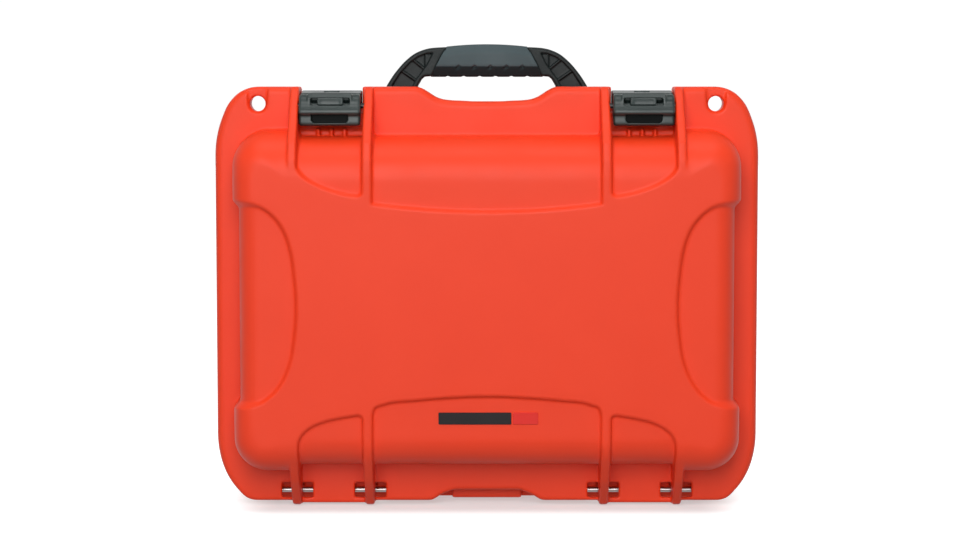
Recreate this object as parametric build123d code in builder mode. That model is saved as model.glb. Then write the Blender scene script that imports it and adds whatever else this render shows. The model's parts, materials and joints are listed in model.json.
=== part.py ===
# Hard equipment case, standing upright on its hinge side.
# +Z up, +X along the case's width, the lid faces -Y.  Millimetres.
# Origin: centre of the overall box in X and Y, underside of the hinge feet.
import os
from math import tan, radians
from build123d import *

os.makedirs("parts", exist_ok=True)

# ---------------------------------------------------------------- driving dimensions
HALF_W = 215.9            # half width over the flanges
Y_FRONT = -118.0          # lid front panel
Y_BACK = 118.0            # base back panel
Y_PART = -58.0            # parting plane between lid and base
GAP = 0.1                 # each half stops this far short of the parting plane
FLANGE_T = 14.0           # thickness of each flange
Z_FL_BOT = 2.9            # underside of the flanges
Z_FL_TOP = 334.0          # top of the flanges
EDGE_R = 5.5              # rounded outer edge of the flanges

DOME_HX = 199.8           # raised panel shell at the parting plane
DOME_Z0, DOME_Z1 = 30.5, 300.4
DOME_RC = 28.0
STEP_SIDE = 4.8           # how far the recesses sit below the raised panel on the walls
STEP_FRONT = 3.5          # and on the front and back faces
DRAFT = 1.2               # degrees
R_TOP, R_BOT, R_SIDE = 36.0, 25.0, 17.0   # rounding of the front and back edges
WALL_HX = 190.0           # interior at the parting plane
WALL_Z0, WALL_Z1 = 40.2, 290.6
INNER_RC = 20.0
SKIN = 4.8                # front and back wall under the recess
IN_TOP, IN_BOT, IN_SIDE = 29.0, 18.0, 12.0  # rounding of the interior's far edges

RIB_IN = (89.7, 97.0)     # inner ribs, distance from the centre line
RIB_OUT = (148.2, 155.4)  # outer ribs

HINGE_Y, HINGE_Z = -58.0, 9.6
PIN_R = 2.0
RUN = 0.05                # radial running clearance
KNUCKLE_R = 5.4

LATCH_X = 122.6           # centre of each latch channel from the centre line
LEVER_X = 123.4           # the levers sit a little outward of it
LATCH_HW = 24.2           # half width of the lever
LPY, LPZ = -82.0, 319.0   # lever pivot
ROLL_R = 9.4
CLAW_E = 5.6              # claw pin above the lever pivot
CLAW_HW = 15.2
CLAW_PIN_R = 1.3

HANDLE_Y, HANDLE_Z = -32.0, 312.0
HANDLE_PIN_R = 2.5

VALVE_Y = -16.0
VALVE_Z = 298.5

PADLOCK_X, PADLOCK_Z, PADLOCK_R = 181.65, 320.6, 6.1
PADLOCK_BASE_R = 6.8        # the base's eye is a little wider, so the lid's eye guides the shackle

LID = Plane(origin=(0, Y_PART, 0), x_dir=(1, 0, 0), z_dir=(0, -1, 0))     # local y is +Z
BASE = Plane(origin=(0, Y_PART, 0), x_dir=(-1, 0, 0), z_dir=(0, 1, 0))


def front(y):
    """Plane facing -Y at a given y, local x = +X, local y = +Z."""
    return Plane(origin=(0, y, 0), x_dir=(1, 0, 0), z_dir=(0, -1, 0))


def side(x):
    """Plane facing +X at a given x, local x = +Y, local y = +Z."""
    return Plane(origin=(x, 0, 0), x_dir=(0, 1, 0), z_dir=(1, 0, 0))


def block(x0, x1, y0, y1, z0, z1):
    with BuildPart(Plane(((x0 + x1) / 2, (y0 + y1) / 2, (z0 + z1) / 2))) as b:
        Box(x1 - x0, y1 - y0, z1 - z0)
    return b.part


def rod_x(x0, x1, y, z, r):
    """Round bar along X."""
    with BuildPart() as b:
        with BuildSketch(side(x0)):
            with Locations((y, z)):
                Circle(r)
        extrude(amount=x1 - x0)
    return b.part


def slab_x(x0, x1, pts):
    """Side profile (y, z) pushed along X."""
    with BuildPart() as b:
        with BuildSketch(side(x0)):
            with BuildLine():
                Polyline(*pts, close=True)
            make_face()
        extrude(amount=x1 - x0)
    return b.part


def flange(plane, notch_bottom):
    """One flange: the case outline with its rounded corners and centre cut-outs."""
    with BuildPart() as f:
        with BuildSketch(plane):
            with BuildLine():
                if notch_bottom:
                    Line((0, 11.5), (24, 11.5))
                    Spline((24, 11.5), (35, 8.2), (46, Z_FL_BOT), tangents=((1, 0), (1, 0)))
                    Line((46, Z_FL_BOT), (182, Z_FL_BOT))
                else:
                    Line((0, Z_FL_BOT), (182, Z_FL_BOT))
                Spline((182, Z_FL_BOT), (191, 5.4), (199.6, 12.2), (206.8, 21.8), (211.8, 33),
                       (HALF_W, 60), tangents=((1, 0), (0, 1)))
                Line((HALF_W, 60), (HALF_W, 278))
                Spline((HALF_W, 278), (214.6, 293.5), (210.6, 308.3), (203.8, 322.2), (195.9, 329.8),
                       (182, Z_FL_TOP), tangents=((0, 1), (-1, 0)))
                Line((182, Z_FL_TOP), (57, Z_FL_TOP))
                Spline((57, Z_FL_TOP), (47, 329.5), (38, 325.0), (24, 322.8), (10, 322.3),
                       tangents=((-1, 0), (-1, 0)))
                Line((10, 322.3), (0, 322.3))
                mirror(about=Plane.YZ)
            make_face()
        extrude(amount=FLANGE_T)
        rim = f.faces().sort_by(Axis.Y)[0 if plane is LID else -1].edges()
        fillet(rim, EDGE_R)
    return f.part


def dome(plane, depth, off_wall, off_front):
    """Shell form with its own edge radii: outline, side profile and plan profile crossed."""
    d = depth - off_front
    s = -1 if plane is LID else 1
    t = tan(radians(DRAFT))
    hx, z0, z1 = DOME_HX - off_wall, DOME_Z0 + off_wall, DOME_Z1 - off_wall
    with BuildPart() as b:
        with BuildSketch(plane):
            with Locations((0, (z0 + z1) / 2)):
                RectangleRounded(2 * hx, z1 - z0, DOME_RC - off_wall / 2)
        extrude(amount=depth + 5, taper=DRAFT)
        with BuildSketch(side(-260)):
            with BuildLine():
                a, e = Y_PART - s * 4, Y_PART + s * d
                Polyline((a, z1 + 4 * t), (e, z1 - d * t), (e, z0 + d * t), (a, z0 - 4 * t), close=True)
            make_face()
            # sketch coordinates: x runs along the depth, y is height
            fillet(vertices().filter_by(lambda v: abs(v.X - e) < 0.01 and v.Y > 150), R_TOP - off_wall / 3)
            fillet(vertices().filter_by(lambda v: abs(v.X - e) < 0.01 and v.Y < 150), R_BOT - off_wall / 3)
        extrude(amount=520, mode=Mode.INTERSECT)
        with BuildSketch(Plane.XY.offset(-50)):
            with BuildLine():
                Polyline((-hx - 4 * t, a), (-hx + d * t, e), (hx - d * t, e), (hx + 4 * t, a), close=True)
            make_face()
            corner = vertices().filter_by(lambda v: abs(v.Y - e) < 0.01)
            fillet(corner, R_SIDE)
        extrude(amount=500, mode=Mode.INTERSECT)
    return b.part


def recesses(y0, y1):
    """Recess outlines as seen from the front, pushed through the whole half."""
    ri0, ri1, ro0 = RIB_IN[0], RIB_IN[1], RIB_OUT[0]
    with BuildPart() as r:
        with BuildSketch(front(y1)):
            with BuildLine():
                Spline((-192.8, 245.1), (-179.1, 242.2), (-166.8, 234.0), (-158.6, 223.0),
                       (-153.3, 207.8), (-150.1, 185.9), (-148.8, 163.7), (-150.4, 138.7),
                       (-153.8, 119.4), (-159.4, 105.3), (-167.7, 94.3), (-177.5, 87.2),
                       (-192.8, 83.2), tangents=((1, -0.05), (-1, -0.05)))
                Polyline((-192.8, 83.2), (-240, 83.2), (-240, 245.1), (-192.8, 245.1))
            make_face()
            with BuildLine():
                ThreePointArc((-ri0, 243.6), (0, 237.4), (ri0, 243.6))
                Polyline((ri0, 243.6), (ri0, 345), (-ri0, 345), (-ri0, 243.6))
            make_face()
            with BuildLine():
                Spline((-ro0, 273), (-142.5, 264.8), (-134.2, 259.4), (-122.8, 254.6), (-111.3, 251.2), (-101.0, 249.6))
                Polyline((-101.0, 249.6), (-ri1, 252.6), (-ri1, 345), (-ro0, 345), (-ro0, 273))
            make_face()
            with BuildLine():
                Spline((-ro0, 53.5), (-145.5, 60.9), (-139.8, 66.7), (-129.6, 71.8), (-115.0, 75.4), (-101.5, 77.6))
                Polyline((-101.5, 77.6), (-ri1, 74.0), (-ri1, -20), (-ro0, -20), (-ro0, 53.5))
            make_face()
            with BuildLine():
                Spline((-ri0, 80.5), (-80.3, 86.2), (-57.1, 89.3), (-28.2, 91.6), (0, 92.6),
                       (28.2, 91.6), (57.1, 89.3), (80.3, 86.2), (ri0, 80.5))
                Polyline((ri0, 80.5), (ri0, -20), (-ri0, -20), (-ri0, 80.5))
            make_face()
            mirror(about=Plane.YZ)
        extrude(amount=y1 - y0)
    return r.part


def cavity(plane, depth):
    """Inside of one half, with edge radii that follow the outer form's."""
    s = -1 if plane is LID else 1
    t = tan(radians(DRAFT))
    with BuildPart() as c:
        with BuildSketch(plane.offset(-1)):
            with Locations((0, (WALL_Z0 + WALL_Z1) / 2)):
                RectangleRounded(2 * WALL_HX, WALL_Z1 - WALL_Z0, INNER_RC)
        extrude(amount=depth + 3, taper=DRAFT)
        with BuildSketch(side(-260)):
            with BuildLine():
                a, e = Y_PART - s * 4, Y_PART + s * depth
                k = (depth + 1) * t
                Polyline((a, WALL_Z1 + 3 * t), (e, WALL_Z1 - k), (e, WALL_Z0 + k), (a, WALL_Z0 - 3 * t), close=True)
            make_face()
            fillet(vertices().filter_by(lambda v: abs(v.X - e) < 0.01 and v.Y > 150), IN_TOP)
            fillet(vertices().filter_by(lambda v: abs(v.X - e) < 0.01 and v.Y < 150), IN_BOT)
        extrude(amount=520, mode=Mode.INTERSECT)
        with BuildSketch(Plane.XY.offset(-50)):
            with BuildLine():
                Polyline((-WALL_HX - 3 * t, a), (-WALL_HX + k, e), (WALL_HX - k, e), (WALL_HX + 3 * t, a), close=True)
            make_face()
            corner = vertices().filter_by(lambda v: abs(v.Y - e) < 0.01)
            fillet(corner, IN_SIDE)
        extrude(amount=500, mode=Mode.INTERSECT)
    return c.part


recess_tool = recesses(Y_FRONT - 5, Y_BACK + 5)

# raised panels: the outer form with the recess outlines taken out of it
with BuildPart() as lid_panel:
    add(dome(LID, 60, 0, 0))
    add(recess_tool, mode=Mode.SUBTRACT)
with BuildPart() as base_panel:
    add(dome(BASE, 176, 0, 0))
    add(recess_tool, mode=Mode.SUBTRACT)

RIBS = [(-RIB_OUT[1], -RIB_OUT[0]), (-RIB_IN[1], -RIB_IN[0]), RIB_IN, RIB_OUT]
LX = (-LATCH_X, LATCH_X)

# ---------------------------------------------------------------- lid shell
LID_RIB_TOP = [(Y_PART - GAP, 334), (-71, 334), (-75.5, 331.5), (-100, 306.5), (-112.6, 291),
               (-117, 277), (-118, 264), (-118, 240), (-104, 240), (-80, 285), (Y_PART - GAP, 285)]
LID_RIB_BOT = [(Y_PART - GAP, 0), (-73, 0), (-77.5, 1.6), (-98, 22), (-112.5, 41), (-117, 53),
               (-118, 64), (-118, 84), (-104, 84), (-90, 50), (Y_PART - GAP, 42)]

with BuildPart() as lid_shell:
    add(flange(LID, True))
    add(dome(LID, 60, STEP_SIDE, STEP_FRONT))
    add(lid_panel.part)
    for a, b in RIBS:
        add(slab_x(a, b, LID_RIB_TOP))
        add(slab_x(a, b, LID_RIB_BOT))
    for cx in LX:
        # sloping ledge under each latch, crossed by three teeth
        add(slab_x(cx - 25.7, cx + 25.7, [(-70, 303.4), (-72, 302.6), (-76.4, 299.2), (-76.4, 290), (-70, 290)]))
        for k in (-1, 0, 1):
            add(block(cx + 10.3 * k - 1.3, cx + 10.3 * k + 1.3, -82, -71, 288, 301.2))
    add(cavity(LID, 60 - STEP_FRONT - SKIN), mode=Mode.SUBTRACT)
    add(block(-260, 260, Y_PART - GAP, Y_PART + 10, -10, 400), mode=Mode.SUBTRACT)
    for a, b in RIBS:                              # hinge eyes on the lower ribs
        add(rod_x(a, b, HINGE_Y, HINGE_Z, KNUCKLE_R))
    # seal groove
    with BuildSketch(LID):
        with Locations((0, 166)):
            RectangleRounded(2 * 203.6, 2 * 137.8, 27)
            RectangleRounded(2 * 198.6, 2 * 132.8, 22, mode=Mode.SUBTRACT)
    extrude(amount=4.1, mode=Mode.SUBTRACT)
    for s in (-1, 1):
        def xr(a, b):
            return (min(s * a, s * b), max(s * a, s * b))
        for a, b in ((73.3, RIB_IN[0] - 0.2), (RIB_IN[1] + 0.2, RIB_OUT[0] - 0.2), (RIB_OUT[1] + 0.2, 172.2)):
            add(block(*xr(a, b), -66.5, Y_PART + 8, -2, 17.6), mode=Mode.SUBTRACT)
        add(block(*xr(RIB_IN[1] - 0.5, RIB_OUT[0] + 0.5), -72, -66.5, 1.7, 5))      # deeper lip between the ribs
        for a, b in ((80.8, RIB_IN[0]), (RIB_IN[1], 105.7), (139.4, RIB_OUT[0]), (RIB_OUT[1], 164.2)):
            add(block(*xr(a, b), -73, -60, 5.6, 17.6), mode=Mode.SUBTRACT)
        # notch the latch passes through, latch pin holes
        add(block(s * LATCH_X - 25.6, s * LATCH_X + 25.6, -73, -57, 313.5, 340), mode=Mode.SUBTRACT)
        add(rod_x(s * LATCH_X - 29.2, s * LATCH_X + 29.2, LPY, LPZ, PIN_R), mode=Mode.SUBTRACT)
        # padlock eye and its shallow slot
        with BuildSketch(front(-70.6)):
            with Locations((s * PADLOCK_X, PADLOCK_Z)):
                Circle(7.4)
                with BuildLine():
                    Polyline((-7.4, 0), (7.4, 0), (8.6, 22), (-8.6, 22), close=True)
                make_face()
        extrude(amount=6, mode=Mode.SUBTRACT)
        with BuildSketch(front(-50)):
            with Locations((s * PADLOCK_X, PADLOCK_Z)):
                Circle(PADLOCK_R)
        extrude(amount=40, mode=Mode.SUBTRACT)
    add(rod_x(-160, 160, HINGE_Y, HINGE_Z, PIN_R + RUN), mode=Mode.SUBTRACT)
lid_shell.part.label = "lid_shell"
export_step(lid_shell.part, "parts/lid_shell.step")

# ---------------------------------------------------------------- base shell
BASE_RIB_TOP = [(Y_PART + GAP, 334), (-45, 334), (-41, 331.5), (-8, 300), (10, 292), (10, 285), (Y_PART + GAP, 285)]
BASE_FOOT = [(Y_PART + GAP, 11.2), (-36.3, 11.2), (-36.3, 0), (62, 0), (98, 24), (98, 60), (80, 60), (60, 40), (Y_PART + GAP, 40)]

with BuildPart() as base_shell:
    add(flange(BASE, False))
    add(dome(BASE, 176, STEP_SIDE, STEP_FRONT))
    add(base_panel.part)
    for a, b in RIBS:
        add(slab_x(a, b, BASE_RIB_TOP))
        add(slab_x(a, b, BASE_FOOT))
    for s in (-1, 1):                              # handle lugs behind the flange
        for a, b in ((51.8, 58.0), (78.2, 84.4)):
            x0, x1 = min(s * a, s * b), max(s * a, s * b)
            add(slab_x(x0, x1, [(-46, 285), (-23, 285), (-23, 314), (-27, 320.5), (-41.6, 320.5), (-46, 324)]))
    with Locations(Location((0, VALVE_Y, 0))):
        with Locations(Location((0, 0, (VALVE_Z + 286) / 2))):
            Cylinder(12, VALVE_Z - 286)
    add(cavity(BASE, 176 - STEP_FRONT - SKIN), mode=Mode.SUBTRACT)
    add(block(-260, 260, Y_PART - 10, Y_PART + GAP, -10, 400), mode=Mode.SUBTRACT)
    for s in (-1, 1):
        # room for the lid's lower edge to swing
        x0, x1 = (28, 230) if s > 0 else (-230, -28)
        add(block(x0, x1, Y_PART - 5, -36.3, -5, 11.2), mode=Mode.SUBTRACT)
        for a, b in (RIB_IN, RIB_OUT):
            x0, x1 = min(s * a, s * b) - 0.6, max(s * a, s * b) + 0.6
            add(block(x0, x1, Y_PART - 5, -51.6, 0, 16.0), mode=Mode.SUBTRACT)
        for a, b in ((73.6, 80.2), (106.4, 138.8), (165.2, 171.8)):      # hinge knuckles
            x0, x1 = min(s * a, s * b), max(s * a, s * b)
            add(rod_x(x0, x1, HINGE_Y, HINGE_Z, KNUCKLE_R))
            add(block(x0, x1, HINGE_Y + 0.4, -46, HINGE_Z - 3.4, 14))
        # notch over the latch catch
        add(block(s * LATCH_X - 25.6, s * LATCH_X + 25.6, -60, -40, 313.5, 340), mode=Mode.SUBTRACT)
        with BuildSketch(front(-40)):
            with Locations((s * PADLOCK_X, PADLOCK_Z)):
                Circle(PADLOCK_BASE_R)
        extrude(amount=20, mode=Mode.SUBTRACT)
        add(rod_x(s * 68.1 - 15.4, s * 68.1 + 15.4, HANDLE_Y, HANDLE_Z, HANDLE_PIN_R), mode=Mode.SUBTRACT)
        x0, x1 = min(s * 75.0, s * 170.4), max(s * 75.0, s * 170.4)
        add(rod_x(x0, x1, HINGE_Y, HINGE_Z, PIN_R), mode=Mode.SUBTRACT)
    # valve bore and seal seat
    with BuildSketch(Plane.XY.offset(VALVE_Z)):
        with Locations((0, VALVE_Y)):
            Circle(5.0)
    extrude(amount=-20, mode=Mode.SUBTRACT)
    with BuildSketch(Plane.XY.offset(VALVE_Z)):
        with Locations((0, VALVE_Y)):
            Circle(7.4)
            Circle(5.6, mode=Mode.SUBTRACT)
    extrude(amount=-1.2, mode=Mode.SUBTRACT)
base_shell.part.label = "base_shell"
export_step(base_shell.part, "parts/base_shell.step")

# ---------------------------------------------------------------- lid seal
with BuildPart() as lid_gasket:
    with BuildSketch(LID.offset(GAP)):
        with Locations((0, 166)):
            RectangleRounded(2 * 203.6, 2 * 137.8, 27)
            RectangleRounded(2 * 198.6, 2 * 132.8, 22, mode=Mode.SUBTRACT)
    extrude(amount=4.0)
lid_gasket.part.label = "lid_gasket"
export_step(lid_gasket.part, "parts/lid_gasket.step")

# ---------------------------------------------------------------- blank name plates
Y_PLATE = Y_FRONT + STEP_FRONT
for name, x0, x1, rr in (("nameplate_dark", -37.8, 19.2, 0.8), ("nameplate_red", 20.4, 40.2, 1.2)):
    with BuildPart() as plate:
        with BuildSketch(front(Y_PLATE)):
            with Locations(((x0 + x1) / 2, 75.3)):
                RectangleRounded(x1 - x0, 9.4, rr)
        extrude(amount=0.9)
        chamfer(plate.faces().sort_by(Axis.Y)[0].edges(), 0.25)
    plate.part.label = name
    export_step(plate.part, "parts/" + name + ".step")

# ---------------------------------------------------------------- pins
with BuildPart() as hinge_pins:
    for s in (-1, 1):
        x0, x1 = min(s * 75.0, s * 170.4), max(s * 75.0, s * 170.4)
        add(rod_x(x0, x1, HINGE_Y, HINGE_Z, PIN_R))
hinge_pins.part.label = "hinge_pins"
export_step(hinge_pins.part, "parts/hinge_pins.step")

with BuildPart() as latch_pins:
    for s in (-1, 1):
        add(rod_x(s * LATCH_X - 29.2, s * LATCH_X + 29.2, LPY, LPZ, PIN_R))
latch_pins.part.label = "latch_pins"
export_step(latch_pins.part, "parts/latch_pins.step")

with BuildPart() as handle_pins:
    for s in (-1, 1):
        add(rod_x(s * 68.1 - 15.4, s * 68.1 + 15.4, HANDLE_Y, HANDLE_Z, HANDLE_PIN_R))
handle_pins.part.label = "handle_pins"
export_step(handle_pins.part, "parts/handle_pins.step")

# ---------------------------------------------------------------- latches
for name, sgn in (("left", -1), ("right", 1)):
    cx = sgn * LEVER_X
    with BuildPart() as lever:
        with BuildSketch(side(cx - LATCH_HW)):
            with Locations((LPY, LPZ)):
                Circle(ROLL_R)
            with Locations((-89.4, 306.3)):
                Circle(2.9)
            make_hull()
        extrude(amount=2 * LATCH_HW)
        # pull ridge across the front
        add(slab_x(cx - LATCH_HW, cx + LATCH_HW,
                   [(-86, 319.5), (-91.2, 319.2), (-92.0, 317.6), (-94.4, 315.6), (-94.8, 313.6), (-93.2, 312.4), (-86, 312.4)]))
        with BuildSketch(side(cx - 19.8)):
            with Locations((LPY, LPZ)):
                Circle(ROLL_R - 3)
        extrude(amount=2 * 19.8, mode=Mode.SUBTRACT)
        add(block(cx - 19.8, cx + 19.8, -83, -70, 300, 332), mode=Mode.SUBTRACT)
        add(block(cx - 16.5, cx + 16.5, -86.8, -70, 324.4, 332), mode=Mode.SUBTRACT)
        sx = sgn * 123.05
        add(block(sx - 15.4, sx + 15.4, -96, -86, 319.6, 325.4), mode=Mode.SUBTRACT)      # slide-lock slot
        add(block(cx - 14.4, cx + 14.4, -97, -88.6, 305.8, 312.4), mode=Mode.SUBTRACT)    # finger pocket
        # pivot tube and claw pin bosses
        add(rod_x(cx - 20, cx + 20, LPY, LPZ, 2.8))
        for a, b in ((-19.9, -15.7), (15.7, 19.9)):
            add(rod_x(cx + a, cx + b, LPY, LPZ + CLAW_E, 2.8))
        add(rod_x(cx - 22, cx + 22, LPY, LPZ + CLAW_E, CLAW_PIN_R), mode=Mode.SUBTRACT)
        add(rod_x(cx - LATCH_HW, cx + LATCH_HW, LPY, LPZ, PIN_R + RUN), mode=Mode.SUBTRACT)
    lever.part.label = "latch_body_" + name
    export_step(lever.part, "parts/latch_body_" + name + ".step")

    with BuildPart() as claw_pin:
        add(rod_x(cx - 22, cx + 22, LPY, LPZ + CLAW_E, CLAW_PIN_R))
    claw_pin.part.label = "latch_claw_pin_" + name
    export_step(claw_pin.part, "parts/latch_claw_pin_" + name + ".step")

    cz = LPZ + CLAW_E
    with BuildPart() as claw:
        add(rod_x(cx - CLAW_HW, cx + CLAW_HW, LPY, cz, 2.7))
        add(slab_x(cx - CLAW_HW, cx + CLAW_HW,
                   [(LPY, cz - 2.2), (-68, cz - 2.2), (-68, cz + 4), (-71.8, cz + 3.8), (-78, cz + 2.2), (LPY, cz + 2.2)]))
        # full-width plate over both flanges, with a skirt in front and the hook behind
        add(slab_x(cx - 24.0, cx + 24.0,
                   [(-71.8, cz - 6.0), (-69.4, cz - 6.0), (-68.4, cz + 0.6), (-54.5, cz + 1.6), (-53.6, cz - 5.2),
                    (-50.8, cz - 5.2), (-50.0, cz + 4.6), (-51.6, cz + 6.2), (-54, cz + 6.4), (-71.0, cz + 4.4), (-71.8, cz + 3.6)]))
        add(block(cx - 6, cx + 6, -66, -58, cz - 8, cz + 8), mode=Mode.SUBTRACT)
        add(rod_x(cx - 20, cx + 20, LPY, cz, CLAW_PIN_R + RUN), mode=Mode.SUBTRACT)
    claw.part.label = "latch_claw_" + name
    export_step(claw.part, "parts/latch_claw_" + name + ".step")

    tx = sgn * 122.9
    with BuildPart() as tab:
        add(block(tx - 10.2, tx + 10.2, -92.3, -87.2, 319.8, 325.2))
        fillet(tab.faces().sort_by(Axis.Y)[0].edges(), 0.9)
        for k in (-2, -1, 0, 1, 2):                # thumb ridges cut in the face
            add(block(tx + 3.4 * k - 0.5, tx + 3.4 * k + 0.5, -93, -91.7, 320.5, 324.5), mode=Mode.SUBTRACT)
    tab.part.label = "latch_slide_" + name
    export_step(tab.part, "parts/latch_slide_" + name + ".step")

# ---------------------------------------------------------------- handle
LEG = [(-82, 323), (-80.8, 334.2), (-72.8, 346.2), (-64.8, 355.0), (-58.1, 360.2), (-50.1, 363.6),
       (-36.0, 365.5), (-33.6, 365.4), (-45.6, 342.0), (-50.1, 341.7), (-52.4, 339.6), (-55.5, 334.2),
       (-55.5, 323)]
BAR = (348.0, 360.0)
with BuildPart() as handle_frame:
    with BuildSketch(front(-24)):
        with BuildLine():
            Polyline(*LEG, close=True)
        make_face()
    extrude(amount=16)
    fillet(handle_frame.edges().filter_by(lambda e: e.bounding_box().size.Y < 0.1
                                          and e.center().Z > 325 and e.center().X < -47), 2.0)
    for y0, y1 in ((-41, -36), (-28, -23)):        # weight-saving pockets, front and back
        with BuildSketch(front(y1)):
            with BuildLine():
                Polyline((-75.6, 334.0), (-60.2, 334.0), (-50.8, 345.5), (-44.8, 357.6), (-50.0, 359.5), (-58.5, 356.0), (-68.0, 345.0), close=True)
            make_face()
        extrude(amount=y1 - y0, mode=Mode.SUBTRACT)
    for p, q in (((-77, 350.0), (-50, 338.5)), ((-66, 361.5), (-40, 350.0))):     # two ribs across each pocket
        with BuildSketch(front(-25.5)):
            with BuildLine():
                Polyline((p[0], p[1] - 1.2), (q[0], q[1] - 1.2), (q[0], q[1] + 1.2), (p[0], p[1] + 1.2), close=True)
            make_face()
        extrude(amount=13, mode=Mode.ADD)
    with BuildSketch(front(-20)):                  # trim the ribs to the leg outline
        with BuildLine():
            Polyline(*LEG, close=True)
        make_face()
    extrude(amount=24, mode=Mode.INTERSECT)
    # foot with its eye
    with BuildSketch(side(-77.7)):
        with Locations((HANDLE_Y, HANDLE_Z)):
            Circle(8.8)
        with Locations((HANDLE_Y, 318.5)):
            Rectangle(15, 13)
    extrude(amount=19.2)
    mirror(about=Plane.YZ)
    add(block(-46, 46, -38, -26, *BAR))
    add(rod_x(-90, 90, HANDLE_Y, HANDLE_Z, HANDLE_PIN_R + RUN), mode=Mode.SUBTRACT)
handle_frame.part.label = "handle_frame"
export_step(handle_frame.part, "parts/handle_frame.step")

GRIP = [(-45.2, 342.2), (-33.2, 365.5), (-31.5, 366.1), (-17, 367.4), (0, 367.9), (17, 367.4), (31.5, 366.1), (33.2, 365.5), (45.2, 342.2),
        (38.0, 341.6), (0, 341.2), (-38.0, 341.6)]
with BuildPart() as handle_grip:
    with BuildSketch(front(-22)):
        with BuildLine():
            Polyline(*GRIP, close=True)
        make_face()
    extrude(amount=20)
    long_edges = handle_grip.edges().filter_by(lambda e: e.bounding_box().size.Y < 0.1 and e.bounding_box().size.X > 6 and abs(e.bounding_box().size.Z) < 3)
    fillet(long_edges, 5.0)
    for k in (-2, -1, 0, 1, 2):                    # slanted grooves, front and back
        with BuildSketch(front(-40.9), front(-21.0)):
            with Locations((12.8 * k + 1.0, 352.5)):
                Rectangle(1.6, 17.0, rotation=-28)
        extrude(amount=1.6, mode=Mode.SUBTRACT)
    for k in (-1.5, -0.5, 0.5, 1.5):               # finger scallops underneath
        with BuildSketch(front(-20)):
            with Locations((19.0 * k, 329.5)):
                Circle(13.0)
        extrude(amount=24, mode=Mode.SUBTRACT)
    add(block(-46, 46, -38, -26, *BAR), mode=Mode.SUBTRACT)
    add(handle_frame.part, mode=Mode.SUBTRACT)
handle_grip.part.label = "handle_grip"
export_step(handle_grip.part, "parts/handle_grip.step")

# ---------------------------------------------------------------- pressure valve
V = Plane.XY.offset(VALVE_Z)
with BuildPart() as valve_body:
    with BuildSketch(V):
        with Locations((0, VALVE_Y)):
            Circle(9.5)
    extrude(amount=3)
    with BuildSketch(V):
        with Locations((0, VALVE_Y)):
            Circle(5.0)
    extrude(amount=-16)
    with BuildSketch(V.offset(3)):
        with Locations((0, VALVE_Y)):
            Circle(4.5)
    extrude(amount=-2.2, mode=Mode.SUBTRACT)
    with BuildSketch(V.offset(3)):
        with Locations((0, VALVE_Y)):
            Circle(2.0)
    extrude(amount=-22, mode=Mode.SUBTRACT)
valve_body.part.label = "valve_body"
export_step(valve_body.part, "parts/valve_body.step")

with BuildPart() as valve_membrane:
    with BuildSketch(V.offset(0.8)):
        with Locations((0, VALVE_Y)):
            Circle(4.4)
    extrude(amount=0.6)
valve_membrane.part.label = "valve_membrane"
export_step(valve_membrane.part, "parts/valve_membrane.step")

with BuildPart() as valve_cap:
    with BuildSketch(V.offset(3)):
        with Locations((0, VALVE_Y)):
            Circle(8.4)
    extrude(amount=2.4)
    fillet(valve_cap.faces().sort_by(Axis.Z)[-1].edges(), 1.0)
    for ang in (0, 60, 120):
        with BuildSketch(V.offset(3)):
            with Locations((0, VALVE_Y)):
                Rectangle(20, 2.0, rotation=ang)
                Circle(5.4, mode=Mode.SUBTRACT)
        extrude(amount=1.2, mode=Mode.SUBTRACT)
valve_cap.part.label = "valve_cap"
export_step(valve_cap.part, "parts/valve_cap.step")

with BuildPart() as valve_oring:
    with BuildSketch(V.offset(-1.15)):
        with Locations((0, VALVE_Y)):
            Circle(7.35)
            Circle(5.65, mode=Mode.SUBTRACT)
    extrude(amount=1.1)
valve_oring.part.label = "valve_oring"
export_step(valve_oring.part, "parts/valve_oring.step")

with BuildPart() as valve_nut:
    with BuildSketch(Plane.XY.offset(291.0)):
        with Locations((0, VALVE_Y)):
            RegularPolygon(9.0, 6)
            Circle(5.0, mode=Mode.SUBTRACT)
    extrude(amount=-4.5)
valve_nut.part.label = "valve_nut"
export_step(valve_nut.part, "parts/valve_nut.step")
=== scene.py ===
import json
import math
import bpy
import numpy as np
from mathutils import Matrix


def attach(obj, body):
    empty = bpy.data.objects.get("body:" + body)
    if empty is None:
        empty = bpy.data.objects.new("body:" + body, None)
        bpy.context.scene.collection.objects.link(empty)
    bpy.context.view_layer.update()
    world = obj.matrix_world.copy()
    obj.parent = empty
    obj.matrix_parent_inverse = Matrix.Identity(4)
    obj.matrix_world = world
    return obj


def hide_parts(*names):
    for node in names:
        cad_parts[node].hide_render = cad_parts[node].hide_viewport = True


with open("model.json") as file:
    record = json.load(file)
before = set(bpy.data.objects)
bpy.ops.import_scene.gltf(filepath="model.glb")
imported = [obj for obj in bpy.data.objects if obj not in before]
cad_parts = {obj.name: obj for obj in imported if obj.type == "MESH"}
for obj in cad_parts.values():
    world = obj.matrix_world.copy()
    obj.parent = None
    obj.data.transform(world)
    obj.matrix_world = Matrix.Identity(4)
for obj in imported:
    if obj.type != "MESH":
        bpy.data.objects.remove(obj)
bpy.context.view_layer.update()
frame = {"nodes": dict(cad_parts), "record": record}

import openvdb
from mathutils import Vector

MM = 0.001

# ------------------------------------------------------------------ shape fields (millimetres)
# Every moulded piece is a signed distance field on a regular grid, blended and meshed once.


def rint(a, b, r):
    """Intersection of two fields with a rounded edge of radius r."""
    a = a + r
    b = b + r
    return np.minimum(np.maximum(a, b), 0) + np.hypot(np.maximum(a, 0), np.maximum(b, 0)) - r


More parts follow.
